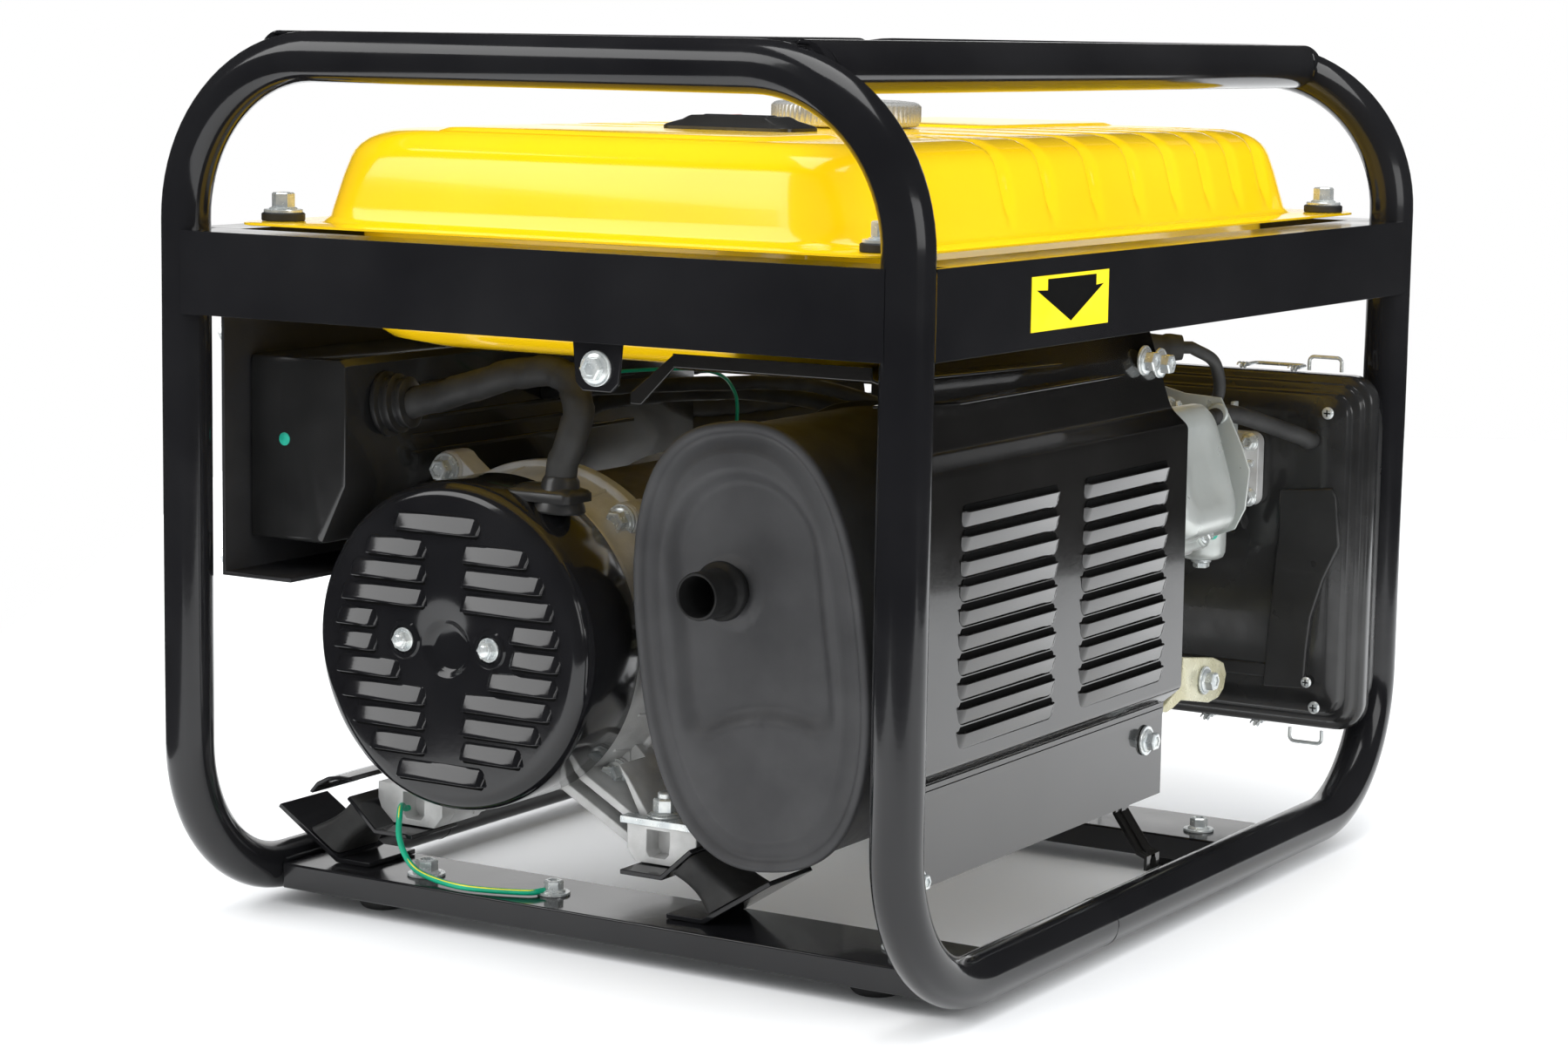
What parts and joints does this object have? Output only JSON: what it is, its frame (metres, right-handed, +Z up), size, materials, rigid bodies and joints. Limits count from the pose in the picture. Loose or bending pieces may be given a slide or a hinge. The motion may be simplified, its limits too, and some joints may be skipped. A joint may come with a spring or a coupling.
{
  "type": "portable generator",
  "caption": "Open-frame portable petrol generator: bent tube cradle, ribbed fuel tank, alternator with louvred end cover, muffler behind a louvred shield, control panel and recoil starter.",
  "frame": {"origin": "on the floor under the middle of the set, at the underside of the rubber feet", "axes": "+X along the crankshaft to the alternator end, +Y to the muffler side, +Z up"},
  "size_m": [0.5958, 0.441, 0.458],
  "materials": {
    "frame_paint": "gloss black enamel",
    "tank_paint": "gloss yellow enamel",
    "cover_paint": "gloss black enamel on pressed sheet",
    "muffler_paint": "matt heat-proof black",
    "cast_aluminium": "as cast",
    "zinc_steel": "zinc plated",
    "steel_core": "varnished laminations and turned steel",
    "black_plastic": "moulded, fine texture",
    "panel_plastic": "moulded, fine texture",
    "rubber": "moulded rubber",
    "red_plastic": "gloss",
    "green_sleeve": "insulated wire",
    "grey_plastic": "moulded"
  },
  "bodies": {
    "frame": {"hoop_alternator_end": "frame_paint", "hoop_recoil_end": "frame_paint", "top_rail_muffler_side": "frame_paint", "top_rail_panel_side": "frame_paint", "belt_alternator_end": "frame_paint", "belt_recoil_end": "frame_paint", "belt_muffler_side": "frame_paint", "belt_panel_side": "frame_paint", "channel_alternator_end": "frame_paint", "channel_recoil_end": "frame_paint", "foot_alternator_muffler": "rubber", "foot_alternator_panel": "rubber", "foot_recoil_muffler": "rubber", "foot_recoil_panel": "rubber", "mount_alternator_muffler": "rubber", "mount_alternator_panel": "rubber", "mount_engine_muffler": "rubber", "mount_engine_panel": "rubber", "fuel_tank": "tank_paint", "fuel_gauge": "black_plastic", "end_bell": "cast_aluminium", "engine_adaptor": "cast_aluminium", "stator_core": "steel_core", "alternator_cover": "cover_paint", "crankcase": "cast_aluminium", "cylinder_head": "cast_aluminium", "rocker_cover": "zinc_steel", "blower_housing": "cover_paint", "recoil_cover": "black_plastic", "air_cleaner_tray": "black_plastic", "air_cleaner_lid": "black_plastic", "carburetor": "cast_aluminium", "muffler": "muffler_paint", "heat_shield": "cover_paint", "lower_plate": "cover_paint", "shield_leg": "frame_paint", "exhaust_pipe": "muffler_paint", "control_panel": "panel_plastic", "control_box": "panel_plastic", "outlet_near_engine": "grey_plastic", "outlet_near_alternator": "grey_plastic", "voltmeter": "black_plastic", "earth_terminal": "zinc_steel", "loom": "rubber", "spark_plug_cap": "rubber", "ignition_lead": "rubber", "breather_hose": "rubber", "ground_wire": "green_sleeve"},
    "crank": {"crankshaft_rotor": "steel_core", "flywheel": "cast_aluminium"},
    "fuel_cap_body": {"fuel_cap": "zinc_steel"},
    "starter_handle_body": {"starter_handle": "black_plastic"},
    "starter_pulley_body": {"starter_pulley": "black_plastic"},
    "engine_switch_body": {"engine_switch": "red_plastic"},
    "breaker_button_body": {"breaker_button": "black_plastic"},
    "choke_lever_body": {"choke_lever": "zinc_steel"},
    "fuel_valve_lever_body": {"fuel_valve_lever": "zinc_steel"},
    "lid_clip_top_body": {"lid_clip_top": "zinc_steel"},
    "lid_clip_bottom_body": {"lid_clip_bottom": "zinc_steel"},
    "oil_cap_body": {"oil_cap": "black_plastic"}
  },
  "joints": [
    {"name": "fuel_cap_turn", "type": "hinge", "parent": "frame", "child": "fuel_cap_body", "pos_m": [0, 0.008, 0.411], "axis": [0, 0, 1], "range_deg": [0, 90]},
    {"name": "crank_spin", "type": "hinge", "parent": "frame", "child": "crank", "pos_m": [0, -0.076, 0.152], "axis": [1, 0, 0], "continuous": true},
    {"name": "starter_pull", "type": "slide", "parent": "frame", "child": "starter_handle_body", "axis": [0, -1, 0], "range_m": [0, 0.6], "stiffness_N_per_m": 25, "springref_m": -0.2},
    {"name": "starter_pulley_spin", "type": "hinge", "parent": "frame", "child": "starter_pulley_body", "pos_m": [0, -0.076, 0.152], "axis": [1, 0, 0], "range_deg": [0, 1080]},
    {"name": "engine_switch_rock", "type": "hinge", "parent": "frame", "child": "engine_switch_body", "pos_m": [-0.06, -0.21, 0.252], "axis": [0, 0, 1], "range_deg": [0, 24]},
    {"name": "breaker_reset", "type": "slide", "parent": "frame", "child": "breaker_button_body", "axis": [0, -1, 0], "range_m": [0, 0.003]},
    {"name": "choke_turn", "type": "hinge", "parent": "frame", "child": "choke_lever_body", "pos_m": [-0.2, 0.1515, 0.224], "axis": [0, 1, 0], "range_deg": [0, 60]},
    {"name": "fuel_valve_turn", "type": "hinge", "parent": "frame", "child": "fuel_valve_lever_body", "pos_m": [-0.2, 0.1515, 0.206], "axis": [0, 1, 0], "range_deg": [-75, 0]},
    {"name": "lid_clip_top_swing", "type": "hinge", "parent": "frame", "child": "lid_clip_top_body", "pos_m": [-0.248, 0.15, 0.2722], "axis": [0, 1, 0], "range_deg": [0, 100]},
    {"name": "lid_clip_bottom_swing", "type": "hinge", "parent": "frame", "child": "lid_clip_bottom_body", "pos_m": [-0.248, 0.134, 0.0608], "axis": [0, -1, 0], "range_deg": [0, 100]},
    {"name": "oil_cap_turn", "type": "hinge", "parent": "frame", "child": "oil_cap_body", "pos_m": [-0.095, -0.01, 0.08], "axis": [0, 1, 0], "range_deg": [0, 360]}
  ],
  "couplings": [
    {"joint": "starter_pulley_spin", "follows": "starter_pull", "rad_per_m": 31.25}
  ]
}
